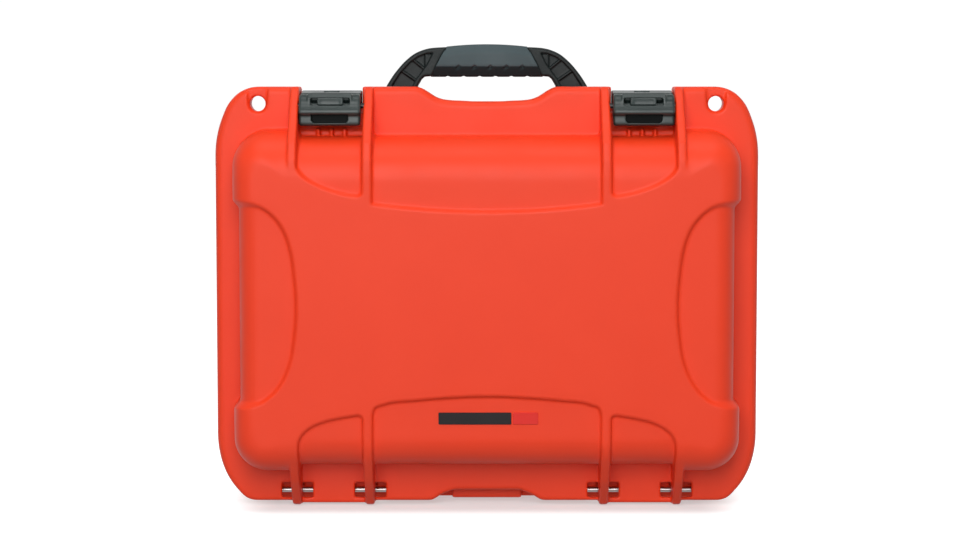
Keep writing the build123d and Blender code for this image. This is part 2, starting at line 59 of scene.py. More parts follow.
def runi(a, b, r):
    """Union of two fields with a fillet of radius r where they meet."""
    return np.maximum(np.minimum(a, b), r) - np.hypot(np.maximum(r - a, 0), np.maximum(r - b, 0))


def sstep(a, b, t):
    t = np.clip((t - a) / (b - a), 0, 1)
    return t * t * (3 - 2 * t)


def curve(pts, t0, t1, n=10):
    """Cubic Hermite line through pts with end directions t0 and t1."""
    p = np.array(pts, float)
    m = np.zeros_like(p)
    c = np.linalg.norm(np.diff(p, axis=0), axis=1)
    for i in range(1, len(p) - 1):
        a, b = (p[i] - p[i - 1]) / c[i - 1], (p[i + 1] - p[i]) / c[i]
        m[i] = (a * c[i] + b * c[i - 1]) / (c[i - 1] + c[i])
    m[0] = np.array(t0, float) / np.linalg.norm(t0)
    m[-1] = np.array(t1, float) / np.linalg.norm(t1)
    out = []
    for i in range(len(p) - 1):
        for k in range(n):
            t = k / n
            h = (2 * t**3 - 3 * t**2 + 1, t**3 - 2 * t**2 + t, -2 * t**3 + 3 * t**2, t**3 - t**2)
            out.append(h[0] * p[i] + h[1] * c[i] * m[i] + h[2] * p[i + 1] + h[3] * c[i] * m[i + 1])
    out.append(p[-1])
    return [tuple(v) for v in out]


def poly2(pts, U, V):
    """Signed distance to a closed polygon, over two broadcastable coordinate arrays."""
    shape = np.broadcast(U, V).shape
    best = np.full(shape, 1e9, np.float32)
    inside = np.zeros(shape, bool)
    n = len(pts)
    for i in range(n):
        (ax, ay), (bx, by) = pts[i], pts[(i + 1) % n]
        ex, ey = bx - ax, by - ay
        l2 = ex * ex + ey * ey
        if l2 < 1e-12:
            continue
        wx, wy = U - ax, V - ay
        t = np.clip((wx * ex + wy * ey) / l2, 0, 1)
        best = np.minimum(best, (wx - ex * t) ** 2 + (wy - ey * t) ** 2)
        if ay != by:
            cross = (V >= min(ay, by)) & (V < max(ay, by)) & (U < ax + (V - ay) * ex / ey)
            inside ^= np.broadcast_to(cross, shape)
    d = np.sqrt(best)
    return np.where(inside, -d, d).astype(np.float32)


def rrect(U, V, cu, cv, hu, hv, r):
    qu, qv = np.abs(U - cu) - hu + r, np.abs(V - cv) - hv + r
    return np.hypot(np.maximum(qu, 0), np.maximum(qv, 0)) + np.minimum(np.maximum(qu, qv), 0) - r


def box3(X, Y, Z, b, r=0.0):
    (x0, x1), (y0, y1), (z0, z1) = b
    qx = np.abs(X - (x0 + x1) / 2) - (x1 - x0) / 2 + r
    qy = np.abs(Y - (y0 + y1) / 2) - (y1 - y0) / 2 + r
    qz = np.abs(Z - (z0 + z1) / 2) - (z1 - z0) / 2 + r
    out = np.sqrt(np.maximum(qx, 0) ** 2 + np.maximum(qy, 0) ** 2 + np.maximum(qz, 0) ** 2)
    return out + np.minimum(np.maximum(np.maximum(qx, qy), qz), 0) - r


class Field:
    def __init__(self, lo, hi, h, mirror=False):
        self.h, self.mirror = h, mirror
        self.lo = np.array(lo, float)
        if mirror:
            self.lo[0] = -4 * h
        n = np.ceil((np.array(hi, float) - self.lo) / h).astype(int) + 1
        self.ax = [(self.lo[i] + h * np.arange(n[i])).astype(np.float32) for i in range(3)]
        self.d = np.full(tuple(n), 5 * h, np.float32)

    def at(self, box):
        sl, co = [], []
        for i in range(3):
            a, b = box[i] if box is not None and box[i] is not None else (-1e9, 1e9)
            i0 = int(np.clip(math.floor((a - self.lo[i]) / self.h), 0, len(self.ax[i])))
            i1 = int(np.clip(math.ceil((b - self.lo[i]) / self.h) + 1, 0, len(self.ax[i])))
            sl.append(slice(i0, i1))
            shape = [1, 1, 1]
            shape[i] = -1
            co.append(self.ax[i][i0:i1].reshape(shape))
        return tuple(sl), co

    def add(self, fn, box=None, fillet=0.0):
        sl, (X, Y, Z) = self.at(box)
        if min(self.d[sl].shape) == 0:
            return
        v = fn(X, Y, Z)
        self.d[sl] = runi(self.d[sl], v, fillet) if fillet else np.minimum(self.d[sl], v)

    def cut(self, fn, box=None, r=0.0):
        sl, (X, Y, Z) = self.at(box)
        if min(self.d[sl].shape) == 0:
            return
        v = -fn(X, Y, Z)
        self.d[sl] = rint(self.d[sl], v, r) if r else np.maximum(self.d[sl], v)

    def add_box(self, b, r=0.0, m=4.0, fillet=0.0):
        self.add(lambda X, Y, Z: box3(X, Y, Z, b, r), [(lo - m, hi + m) for lo, hi in b], fillet)

    def cut_box(self, b, r=0.0, m=1.0, edge=0.0):
        self.cut(lambda X, Y, Z: box3(X, Y, Z, b, r), [(lo - m, hi + m) for lo, hi in b], edge)

    def rod(self, axis, c, r, a, b, m=4.0):
        """(field function, box) of a round bar along an axis; c is its centre across the axis."""
        o = [i for i in range(3) if i != axis]

        def fn(X, Y, Z):
            q = (X, Y, Z)
            rad = np.hypot(q[o[0]] - c[0], q[o[1]] - c[1]) - r
            return np.maximum(rad, np.abs(q[axis] - (a + b) / 2) - (b - a) / 2)

        bx = [None, None, None]
        bx[axis] = (a - m, b + m)
        bx[o[0]] = (c[0] - r - m, c[0] + r + m)
        bx[o[1]] = (c[1] - r - m, c[1] + r + m)
        return fn, bx

    def add_rod(self, *a):
        self.add(*self.rod(*a))

    def cut_rod(self, *a):
        self.cut(*self.rod(*a, 1.0))

    def soften(self, n=1):
        """Small box blur, so that every edge gets a moulded radius of about a voxel."""
        d = np.clip(self.d, -4 * self.h, 4 * self.h)
        for _ in range(n):
            for axis in range(3):
                e = d.copy()
                lo = [slice(None)] * 3
                mid = [slice(None)] * 3
                hi = [slice(None)] * 3
                lo[axis], mid[axis], hi[axis] = slice(0, -2), slice(1, -1), slice(2, None)
                e[tuple(mid)] = 0.25 * d[tuple(lo)] + 0.5 * d[tuple(mid)] + 0.25 * d[tuple(hi)]
                d = e
        self.d = d

    def mesh(self, name, keep=None, adapt=0.0):
        h = self.h
        d = np.clip(self.d, -3 * h, 3 * h)
        if self.mirror:
            d = d[4:]
            d = np.concatenate([d[:0:-1], d], axis=0)
            ox = -h * ((d.shape[0] - 1) // 2)
        else:
            ox = self.lo[0]
        g = openvdb.FloatGrid(3 * h)
        g.copyFromArray(np.ascontiguousarray(d))
        pts, tris, quads = g.convertToPolygons(0.0, adapt)
        pts = np.asarray(pts, np.float32) * h + np.array([ox, self.lo[1], self.lo[2]], np.float32)
        me = polymesh(name, pts * MM, tris, quads)
        if keep is not None and keep < 1:
            me = thin_out(me, keep)
        return me


def polymesh(name, pts, tris, quads):
    tris = np.asarray(tris, np.int64).reshape(-1, 3)
    quads = np.asarray(quads, np.int64).reshape(-1, 4)
    # outward normals: signed volume of the surface
    vol = 0.0
    for q, idx in ((tris, ((0, 1, 2),)), (quads, ((0, 1, 2), (0, 2, 3)))):
        for a, b, c in idx:
            if len(q):
                vol += float(np.einsum("ij,ij->i", pts[q[:, a]].astype(float), np.cross(pts[q[:, b]].astype(float), pts[q[:, c]].astype(float))).sum())
    if vol < 0:
        tris, quads = tris[:, ::-1], quads[:, ::-1]
    me = bpy.data.meshes.new(name)
    me.vertices.add(len(pts))
    me.vertices.foreach_set("co", pts.astype(np.float32).ravel())
    loops = np.concatenate([tris.ravel(), quads.ravel()]).astype(np.int32)
    starts = np.concatenate([np.arange(len(tris)) * 3, len(tris) * 3 + np.arange(len(quads)) * 4]).astype(np.int32)
    me.loops.add(len(loops))
    me.loops.foreach_set("vertex_index", loops)
    me.polygons.add(len(starts))
    me.polygons.foreach_set("loop_start", starts)
    me.polygons.foreach_set("use_smooth", np.ones(len(starts), bool))
    me.update(calc_edges=True)
    me.validate()
    return me


def thin_out(me, ratio):
    """Collapse-decimates a mesh."""
    o = bpy.data.objects.new(me.name + "_tmp", me)
    bpy.context.scene.collection.objects.link(o)
    mod = o.modifiers.new("thin", "DECIMATE")
    mod.ratio = ratio
    dg = bpy.context.evaluated_depsgraph_get()
    out = bpy.data.meshes.new_from_object(o.evaluated_get(dg), depsgraph=dg)
    out.name = me.name
    bpy.data.objects.remove(o)
    bpy.data.meshes.remove(me)
    out.polygons.foreach_set("use_smooth", np.ones(len(out.polygons), bool))
    return out


def even_normals(me):
    """Area-weighted vertex normals, so the long thin triangles of a flat panel shade evenly."""
    me.calc_loop_triangles()
    n = len(me.vertices)
    co = np.empty(n * 3, np.float32)
    me.vertices.foreach_get("co", co)
    co = co.reshape(-1, 3).astype(np.float64)
    tri = np.empty(len(me.loop_triangles) * 3, np.int32)
    me.loop_triangles.foreach_get("vertices", tri)
    tri = tri.reshape(-1, 3)
    c = np.cross(co[tri[:, 1]] - co[tri[:, 0]], co[tri[:, 2]] - co[tri[:, 0]])
    acc = np.zeros((n, 3))
    for k in range(3):
        for j in range(3):
            acc[:, j] += np.bincount(tri[:, k], weights=c[:, j], minlength=n)
    L = np.linalg.norm(acc, axis=1, keepdims=True)
    acc = np.where(L > 0, acc / np.maximum(L, 1e-30), np.array([0.0, 0.0, 1.0]))
    me.normals_split_custom_set_from_vertices(acc.tolist())


def put(name, me, body, nodes, mat):
    o = bpy.data.objects.new(name, me)
    bpy.context.scene.collection.objects.link(o)
    me.materials.clear()
    me.materials.append(mat)
    if name in ("lid_moulding", "base_moulding"):
        even_normals(me)
    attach(o, body)
    if nodes:
        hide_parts(*nodes)
    return o


# ------------------------------------------------------------------ materials
def new_mat(name):
    m = bpy.data.materials.new(name)
    m.use_nodes = True
    nt = m.node_tree
    nt.nodes.clear()
    out = nt.nodes.new("ShaderNodeOutputMaterial")
    bs = nt.nodes.new("ShaderNodeBsdfPrincipled")
    nt.links.new(bs.outputs["BSDF"], out.inputs["Surface"])
    return m, nt, bs


def node(nt, kind, **kw):
    n = nt.nodes.new(kind)
    for k, v in kw.items():
        if k.startswith("in_"):
            key = k[3:]
            n.inputs[int(key) if key.isdigit() else key.replace("_", " ")].default_value = v
        else:
            setattr(n, k, v)
    return n


def ramp(nt, src, stops):
    r = nt.nodes.new("ShaderNodeValToRGB")
    while len(r.color_ramp.elements) > 1:
        r.color_ramp.elements.remove(r.color_ramp.elements[-1])
    for i, (p, c) in enumerate(stops):
        e = r.color_ramp.elements[0] if i == 0 else r.color_ramp.elements.new(p)
        e.position = p
        e.color = (*c, 1) if len(c) == 3 else c
    nt.links.new(src, r.inputs["Fac"])
    return r.outputs["Color"]


def moulded(name, col, dark, light, rough=(0.38, 0.5), grain=1500.0, grain_h=0.00003, spec=0.5,
            wear=None, mottling=18.0, grain_detail=3.0, shade=None):
    """Moulded plastic: fine spark-eroded grain, faint mottling, edge wear and an optional box of painted shade that
    darkens the colour and the specular inside it.
    """
    m, nt, bs = new_mat(name)
    L = nt.links.new
    tc = node(nt, "ShaderNodeTexCoord")
    big = node(nt, "ShaderNodeTexNoise", in_Scale=mottling, in_Detail=4.0, in_Roughness=0.6)
    L(tc.outputs["Object"], big.inputs["Vector"])
    base = ramp(nt, big.outputs["Fac"], [(0.3, dark), (0.52, col), (0.75, light)])
    if wear is not None:
        geo = node(nt, "ShaderNodeNewGeometry")
        edge = ramp(nt, geo.outputs["Pointiness"], [(0.53, (0, 0, 0)), (0.6, (1, 1, 1))])
        scuff = node(nt, "ShaderNodeTexNoise", in_Scale=60.0, in_Detail=5.0)
        L(tc.outputs["Object"], scuff.inputs["Vector"])
        sc = ramp(nt, scuff.outputs["Fac"], [(0.45, (0, 0, 0)), (0.7, (0.35, 0.35, 0.35))])
        mul = node(nt, "ShaderNodeMix", data_type="RGBA", blend_type="MULTIPLY", in_0=1.0)
        L(edge, mul.inputs[6])
        L(sc, mul.inputs[7])
        mix = node(nt, "ShaderNodeMix", data_type="RGBA")
        L(mul.outputs[2], mix.inputs[0])
        L(base, mix.inputs[6])
        mix.inputs[7].default_value = (*wear, 1)
        base = mix.outputs[2]
    if shade is not None:                               # painted shade: a box in the case's own coordinates inside which the colour and the specular are darkened
        (x0, x1), (y0, y1), (z0, z1), dim = shade
        sep = node(nt, "ShaderNodeSeparateXYZ")
        L(tc.outputs["Object"], sep.inputs[0])
        axis = [node(nt, "ShaderNodeMath", operation="ABSOLUTE").outputs[0], sep.outputs["Y"], sep.outputs["Z"]]
        L(sep.outputs["X"], axis[0].node.inputs[0])
        fac = None
        for src, lo, hi in zip(axis, (x0, y0, z0), (x1, y1, z1)):
            for edge_at, sign in ((lo, 1.0), (hi, -1.0)):
                m_r = node(nt, "ShaderNodeMapRange", interpolation_type="SMOOTHSTEP")
                m_r.inputs["From Min"].default_value = edge_at - sign * 0.0003
                m_r.inputs["From Max"].default_value = edge_at + sign * 0.0003
                L(src, m_r.inputs["Value"])
                if fac is None:
                    fac = m_r.outputs["Result"]
                else:
                    mm = node(nt, "ShaderNodeMath", operation="MULTIPLY")
                    L(fac, mm.inputs[0])
                    L(m_r.outputs["Result"], mm.inputs[1])
                    fac = mm.outputs[0]
        painted_shade_mix = node(nt, "ShaderNodeMix", data_type="RGBA", blend_type="MULTIPLY")
        L(fac, painted_shade_mix.inputs[0])
        L(base, painted_shade_mix.inputs[6])
        painted_shade_mix.inputs[7].default_value = (dim, dim, dim, 1)
        base = painted_shade_mix.outputs[2]
        # the specular is dimmed by the same painted shade
        gl = node(nt, "ShaderNodeMapRange")
        gl.inputs["To Min"].default_value = spec
        gl.inputs["To Max"].default_value = spec * dim
        L(fac, gl.inputs["Value"])
    L(base, bs.inputs["Base Color"])
    fine = node(nt, "ShaderNodeTexNoise", in_Scale=grain, in_Detail=grain_detail, in_Roughness=0.55)
    L(tc.outputs["Object"], fine.inputs["Vector"])
    med = node(nt, "ShaderNodeTexNoise", in_Scale=45.0, in_Detail=3.0)
    L(tc.outputs["Object"], med.inputs["Vector"])
    rr = node(nt, "ShaderNodeMapRange")
    rr.inputs["From Min"].default_value = 0.3
    rr.inputs["From Max"].default_value = 0.7
    rr.inputs["To Min"].default_value = rough[0]
    rr.inputs["To Max"].default_value = rough[1]
    L(med.outputs["Fac"], rr.inputs["Value"])
    L(rr.outputs["Result"], bs.inputs["Roughness"])
    bump = node(nt, "ShaderNodeBump", in_Strength=1.0, in_Distance=grain_h)
    L(fine.outputs["Fac"], bump.inputs["Height"])
    L(bump.outputs["Normal"], bs.inputs["Normal"])
    bs.inputs["Specular IOR Level"].default_value = spec
    if shade is not None:
        L(gl.outputs["Result"], bs.inputs["Specular IOR Level"])
    return m


MAT = {}
LEVX_M = 0.1234                                         # latch centre, metres
MAT["shell_orange"] = moulded("shell_orange", (0.845, 0.046, 0.009), (0.833, 0.0445, 0.0085), (0.856, 0.048, 0.0097),
                              rough=(0.40, 0.48), grain=1300.0, grain_h=0.00003, spec=0.21, wear=(0.9, 0.20, 0.12))
# latch_black: painted shade darkens the finger pocket under the ridge to 0.12, colour and specular
MAT["latch_black"] = moulded("latch_black", (0.019, 0.031, 0.029), (0.015, 0.025, 0.024), (0.025, 0.038, 0.036),
                             rough=(0.28, 0.40), grain=1800.0, grain_h=0.00003, spec=0.36, wear=(0.10, 0.12, 0.11),
                             shade=((LEVX_M - 0.0146, LEVX_M + 0.0146), (-0.0905, -0.0840), (0.3052, 0.3127), 0.12))
MAT["handle_black"] = moulded("handle_black", (0.006, 0.010, 0.010), (0.004, 0.007, 0.007), (0.009, 0.013, 0.013),
                              rough=(0.42, 0.56), grain=1600.0, grain_h=0.00004, spec=0.22, wear=(0.04, 0.05, 0.05))
# grip_grey: painted shade darkens the grip's lower facet, below z 350.1 mm, to 0.35
MAT["grip_grey"] = moulded("grip_grey", (0.046, 0.068, 0.074), (0.042, 0.062, 0.068), (0.051, 0.074, 0.080),
                           rough=(0.55, 0.7), grain=2200.0, grain_h=0.00006, spec=0.25, wear=(0.10, 0.12, 0.13),
                           shade=((-0.1, 0.1), (-0.1, 0.1), (0.3, 0.3501), 0.35))
MAT["seal_black"] = moulded("seal_black", (0.018, 0.018, 0.018), (0.012, 0.012, 0.012), (0.026, 0.026, 0.026),
                            rough=(0.6, 0.75), grain=2500.0, grain_h=0.00004, spec=0.3)
MAT["valve_black"] = moulded("valve_black", (0.02, 0.02, 0.021), (0.014, 0.014, 0.015), (0.03, 0.03, 0.031),
                             rough=(0.35, 0.5), grain=1800.0, grain_h=0.00003)
MAT["membrane_white"] = moulded("membrane_white", (0.62, 0.62, 0.6), (0.5, 0.5, 0.48), (0.72, 0.72, 0.7),
                                rough=(0.7, 0.85), grain=3500.0, grain_h=0.00005, spec=0.3)
MAT["plate_dark"] = moulded("plate_dark", (0.012, 0.010, 0.011), (0.010, 0.008, 0.009), (0.016, 0.013, 0.014),
                            rough=(0.28, 0.36), grain=900.0, grain_h=0.00001, spec=0.16)
MAT["plate_red"] = moulded("plate_red", (0.74, 0.026, 0.018), (0.70, 0.023, 0.016), (0.77, 0.030, 0.021),
                           rough=(0.28, 0.36), grain=900.0, grain_h=0.00001, spec=0.2)


def steel():
    m, nt, bs = new_mat("pin_steel")
    L = nt.links.new
    tc = node(nt, "ShaderNodeTexCoord")
    mp = node(nt, "ShaderNodeMapping")
    mp.inputs["Scale"].default_value = (1.0, 60.0, 60.0)
    L(tc.outputs["Object"], mp.inputs["Vector"])
    n = node(nt, "ShaderNodeTexNoise", in_Scale=60.0, in_Detail=3.0)
    L(mp.outputs["Vector"], n.inputs["Vector"])
    sep = node(nt, "ShaderNodeSeparateXYZ")
    L(tc.outputs["Object"], sep.inputs[0])
    hi = node(nt, "ShaderNodeMapRange")                 # painted shade: the pins at the top of the case, above z 0.21 m, are darkened near-black for the shade they sit in beside the latches
    hi.inputs["From Min"].default_value = 0.2
    hi.inputs["From Max"].default_value = 0.21
    L(sep.outputs["Z"], hi.inputs["Value"])
    pin_painted_shade = node(nt, "ShaderNodeMix", data_type="RGBA", blend_type="MULTIPLY")
    L(hi.outputs["Result"], pin_painted_shade.inputs[0])
    L(ramp(nt, n.outputs["Fac"], [(0.3, (0.38, 0.38, 0.38)), (0.7, (0.6, 0.59, 0.58))]), pin_painted_shade.inputs[6])
    pin_painted_shade.inputs[7].default_value = (0.07, 0.07, 0.07, 1)
    L(pin_painted_shade.outputs[2], bs.inputs["Base Color"])
    rr = node(nt, "ShaderNodeMapRange")
    rr.inputs["To Min"].default_value = 0.24
    rr.inputs["To Max"].default_value = 0.42
    L(n.outputs["Fac"], rr.inputs["Value"])
    L(rr.outputs["Result"], bs.inputs["Roughness"])
    b = node(nt, "ShaderNodeBump", in_Strength=0.4, in_Distance=0.00002)
    L(n.outputs["Fac"], b.inputs["Height"])
    L(b.outputs["Normal"], bs.inputs["Normal"])
    bs.inputs["Metallic"].default_value = 1.0
    return m


MAT["pin_steel"] = steel()

# ------------------------------------------------------------------ case dimensions, as in the CAD
ZB, ZT, HW = 2.9, 334.0, 215.9
RI0, RI1, RO0, RO1 = 89.7, 97.0, 148.2, 155.4
LX, LEVX = 122.6, 123.4
LPY, LPZ = -82.0, 319.0
HY, HZ = -58.0, 9.6
TAN = math.tan(math.radians(1.2))


def outline(notch):
    r = []
    if notch:
        r += [(0, 11.5)] + curve([(24, 11.5), (35, 8.2), (46, ZB)], (1, 0), (1, 0))
    else:
        r += [(0, ZB)]
    r += curve([(184, ZB), (191.8, 4.6), (199.6, 11.6), (206.8, 21.2), (211.5, 31.0), (214.3, 41.0), (HW, 58)], (1, 0), (0, 1))
    r += curve([(HW, 278), (214.7, 293.5), (210.7, 308.3), (203.9, 322.2), (195.9, 329.8), (182, ZT)], (0, 1), (-1, 0))
    r += curve([(56.5, ZT), (52.4, 332.9), (46.8, 329.9), (44.4, 328.3), (40.4, 325.9), (35.5, 324.1), (29, 323.2), (20, 322.8), (10, 322.3)],
               (-1, 0), (-1, 0))
    r += [(0, 322.3)]
    return r + [(-x, z) for x, z in r[::-1] if x > 0]


def recess_polys():
    """Recess outlines for x >= 0, as seen from the front."""
    side = curve([(192.8, 245.1), (179.1, 242.2), (166.8, 234.0), (158.6, 223.0), (153.3, 207.8), (150.1, 185.9),
                  (148.8, 163.7), (150.4, 138.7), (153.8, 119.4), (159.4, 105.3), (167.7, 94.3), (177.5, 87.2),
                  (192.8, 83.2)], (-1, -0.05), (1, -0.05)) + [(250, 83.2), (250, 245.1)]
    arc = [(x, 237.4 + 6.2 * (x / RI0) ** 2) for x in np.linspace(-RI0, RI0, 31)]
    top = [(float(x), float(z)) for x, z in arc] + [(RI0, 350), (-RI0, 350)]
    chan = curve([(RO0, 273), (142.5, 264.8), (134.2, 259.4), (122.8, 254.6), (111.3, 251.2), (101.0, 249.6)],
                 (-0.2, -1), (-1, -0.1)) + [(60, 249.2), (60, 350), (RO0, 350)]
    hinge = curve([(RO0, 53.5), (145.5, 60.9), (139.8, 66.7), (129.6, 71.8), (115.0, 75.4), (101.5, 77.6)],
                  (-0.15, 1), (-1, 0.15)) + [(60, 78.4), (60, -30), (RO0, -30)]
    a = [(110, 80.5)] + curve([(RI0, 81.5), (80.3, 86.2), (57.1, 89.3), (28.2, 91.6), (0, 92.6)], (-0.4, 1), (-1, 0))
    bot = a + [(-x, z) for x, z in a[-2::-1]] + [(-110, -30), (110, -30)]
    return side, top, chan, hinge, bot


def edge_radii(X, Z, zc, hx, hz, side, top, bot):
    """Radius of the far edge round a box form: one value on the sides, others on top and bottom."""
    px = np.maximum(np.abs(X) - (hx - 42), 0)
    pz = np.maximum(np.abs(Z - zc) - (hz - 42), 0)
    w = pz ** 2 / (px ** 2 + pz ** 2 + 1e-3)
    return (side + (np.where(Z > zc, top, bot) - side) * w).astype(np.float32)


def shell_form(F, s, depth):
    """The domed body of one half: s = -1 lid, +1 base.  Raised panel, sunk recesses, own radius on each edge."""
    sl, (X, Y, Z) = F.at(None)
    t = s * (Y + 58.0)                                  # distance out of the parting plane
    zc, hz, hx = 165.45, 134.95, 199.8
    A = rrect(X, Z, 0, zc, hx, hz, 28.0).astype(np.float32)          # walls, (nx,1,nz)
    R = edge_radii(X, Z, zc, hx, hz, 17.0, 36.0, 25.0)
    # recess depth: 0 on the raised panel, 1 in a recess; its bevel widens on the side walls
    S = np.zeros(np.broadcast(X, Z).shape, np.float32)
    for i, p in enumerate(recess_polys()):
        q = poly2(p, X, Z)
        if i in (2, 3):                                 # bounded by the inner rib, round in the corner
            q = rint(q, RI1 - X + 0 * Z, 4.2)
        elif i == 4:
            q = rint(q, np.abs(X) - RI0 + 0 * Z, 4.2)
        k = sstep(172, 196, np.abs(X)) * (4.6 if i == 0 else 0.0)
        w = 2.9 if i == 0 else 2.2
        u = np.clip((0.5 * w - q) / (w + k), 0, 1)
        S = np.maximum(S, u * u * (3 - 2 * u))
    a = A + 4.8 * S + t * TAN
    f = t - depth + 3.5 * S
    return rint(a, f, R - 1.5 * S)


def hollow(F, s, depth):
    """Inside of one half."""
    sl, (X, Y, Z) = F.at(None)
    t = s * (Y + 58.0)
    a = rrect(X, Z, 0, 165.4, 190.0, 125.2, 20.0).astype(np.float32) + (t + 1) * TAN
    return rint(a, t - depth, edge_radii(X, Z, 165.4, 190.0, 125.2, 12.0, 29.0, 18.0))


TOP_RIB_L = [(-40, 334), (-71, 334), (-75.5, 331.5), (-100, 306.5), (-112.6, 291), (-117, 277), (-118, 264),
             (-118, 238), (-104, 238), (-80, 285), (-40, 285)]
BOT_RIB_L = [(-40, 0), (-73, 0), (-77.5, 1.6), (-98, 22), (-112.5, 41), (-117, 53), (-118, 64), (-118, 86),
             (-104, 86), (-90, 50), (-40, 42)]
TOP_RIB_B = [(-70, 334), (-45, 334), (-41, 331.5), (-8, 300), (10, 292), (10, 285), (-70, 285)]
FOOT_B = [(-70, 11.2), (-36.3, 11.2), (-36.3, 0), (62, 0), (98, 24), (98, 60), (80, 60), (60, 40), (-70, 40)]
RIBS = [(RI0, RI1), (RO0, RO1)]


def rib(F, x0, x1, pts, r=1.3):
    ys, zs = [p[0] for p in pts], [p[1] for p in pts]
    bx = [(x0 - 4, x1 + 4), (min(ys) - 4, max(ys) + 4), (min(zs) - 4, max(zs) + 4)]

    def fn(X, Y, Z):
        return rint(poly2(pts, Y, Z), np.abs(X - (x0 + x1) / 2) - (x1 - x0) / 2, r)

    F.add(fn, bx)


def seal_ring(X, Z):
    a = rrect(X, Z, 0, 166, 203.6, 137.8, 27)
    b = rrect(X, Z, 0, 166, 198.6, 132.8, 22)
    return np.maximum(a, -b)


def lid_field(h):
    F = Field((0, -118 - 4 * h, -4 * h), (HW + 4 * h, -52.6 + 4 * h, ZT + 4 * h), h, mirror=True)
    sl, (X, Y, Z) = F.at(None)
    o = poly2(outline(True), X, Z)
    fl = rint(o, -Y - 72.0, 2.4 + 3.4 * sstep(6, 40, Z))
    dome = shell_form(F, -1, 60.0)
    F.d = runi(dome, fl, 0.9).astype(np.float32)
    for a, b in RIBS:
        rib(F, a, b, TOP_RIB_L)
        rib(F, a, b, BOT_RIB_L)
    ledge = [(-70, 303.4), (-72, 302.6), (-76.4, 299.2), (-76.4, 290), (-70, 290)]
    F.add(lambda X, Y, Z: rint(poly2(ledge, Y, Z), np.abs(X - LX) - 25.7, 0.3), [(LX - 30, LX + 30), (-81, -66), (286, 308)])
    for k in (-1, 0, 1):
        c = LX + 10.3 * k
        F.add_box([(c - 1.3, c + 1.3), (-82, -71), (288, 301.2)], 0.5)
    F.d = np.maximum(F.d, -hollow(F, -1, 51.7))
    # parting face, seal groove
    F.d = np.maximum(F.d, Y + 58.1)
    F.cut(lambda X, Y, Z: np.maximum(seal_ring(X, Z), np.abs(Y + 60.0) - 2.1), [None, (-63, -56), None])
    for a, b in RIBS:
        F.add_rod(0, (HY, HZ), 5.4, a, b)
    for a, b in ((73.3, RI0 - 0.2), (RI1 + 0.2, RO0 - 0.2), (RO1 + 0.2, 172.2)):
        F.cut_box([(a, b), (-66.5, -50), (-4, 17.6)])
    F.add_box([(RI1 - 0.5, RO0 + 0.5), (-72, -66.5), (1.2, 5.6)], 0.8, 3.0)
    for a, b in ((80.8, RI0), (RI1, 105.7), (139.4, RO0), (RO1, 164.2)):
        F.cut_box([(a, b), (-80, -60), (5.6, 17.6)])
    F.cut_box([(LX - 25.6, LX + 25.6), (-73.0, -50), (313.5, 345)])
    F.cut_rod(0, (LPY, LPZ), 2.0, LX - 29.2, LX + 29.2)
    # padlock eye and its flared slot
    slot = [(-7.4, 0), (7.4, 0), (8.6, 22), (-8.6, 22)]
    F.cut(lambda X, Y, Z: np.maximum(np.minimum(np.hypot(X - 181.65, Z - 320.6) - 7.4, poly2(slot, X - 181.65, Z - 320.6)), Y + 69.6),
          [(170, 194), (-80, -68), (308, 345)], 0.8)
    F.cut_rod(1, (181.65, 320.6), 6.1, -90, -50)
    F.cut_rod(0, (HY, HZ), 2.05, 60, 180)
    return F


def base_field(h):
    F = Field((0, -63.4 - 4 * h, -4 * h), (HW + 4 * h, 118 + 4 * h, ZT + 4 * h), h, mirror=True)
    sl, (X, Y, Z) = F.at(None)
    o = poly2(outline(False), X, Z)
    fl = rint(o, Y + 44.0, 2.4 + 3.4 * sstep(6, 40, Z))
    dome = shell_form(F, 1, 176.0)
    F.d = runi(dome, fl, 0.9).astype(np.float32)
    for a, b in RIBS:
        rib(F, a, b, TOP_RIB_B)
        rib(F, a, b, FOOT_B)
    for a, b in ((51.8, 58.0), (78.2, 84.4)):
        rib(F, a, b, [(-46, 285), (-23, 285), (-23, 314), (-27, 320.5), (-41.6, 320.5), (-46, 324)], 1.2)
    F.add_rod(2, (0, -16.0), 12.0, 286, 298.5)
    F.d = np.maximum(F.d, -hollow(F, 1, 167.7))
    F.d = np.maximum(F.d, -(Y + 57.9))
    F.cut_box([(28, 47), (-70, -49.4), (-8, 11.2)])
    F.cut_box([(47, 230), (-70, -36.3), (-8, 11.2)])
    F.add_box([(72, 173), (-47.0, -44.3), (1.2, 13)], 0.4)
    for a, b in RIBS:
        F.cut_box([(a - 0.6, b + 0.6), (-70, -51.6), (0, 16)])
    for a, b in ((73.6, 80.2), (106.4, 138.8), (165.2, 171.8)):
        F.add_rod(0, (HY, HZ), 5.4, a, b)
        F.add_box([(a, b), (HY + 0.4, -46), (HZ - 3.4, 14)], 0.3)
    F.cut_box([(99.1, LX + 25.6), (-70, -40), (313.5, 345)])
    F.add_box([(96.5, 101.7), (-43.8, -42.0), (311, 321.5)], 0.3)
    F.cut_rod(1, (181.65, 320.6), 6.8, -70, -38)
    F.cut_rod(0, (-32.0, 312.0), 2.5, 52.7, 83.5)
    F.cut_rod(0, (HY, HZ), 2.0, 75.0, 170.4)
    F.cut_rod(2, (0, -16.0), 5.0, 280, 300)
    return F


FINE = 0.95
F = lid_field(FINE)
F.soften(1)
lid = put("lid_moulding", F.mesh("lid_moulding", 0.11), "lid", ["lid_shell"], MAT["shell_orange"])
F = base_field(FINE)
F.soften(1)
base = put("base_moulding", F.mesh("base_moulding", 0.06), "base", ["base_shell"], MAT["shell_orange"])
del F

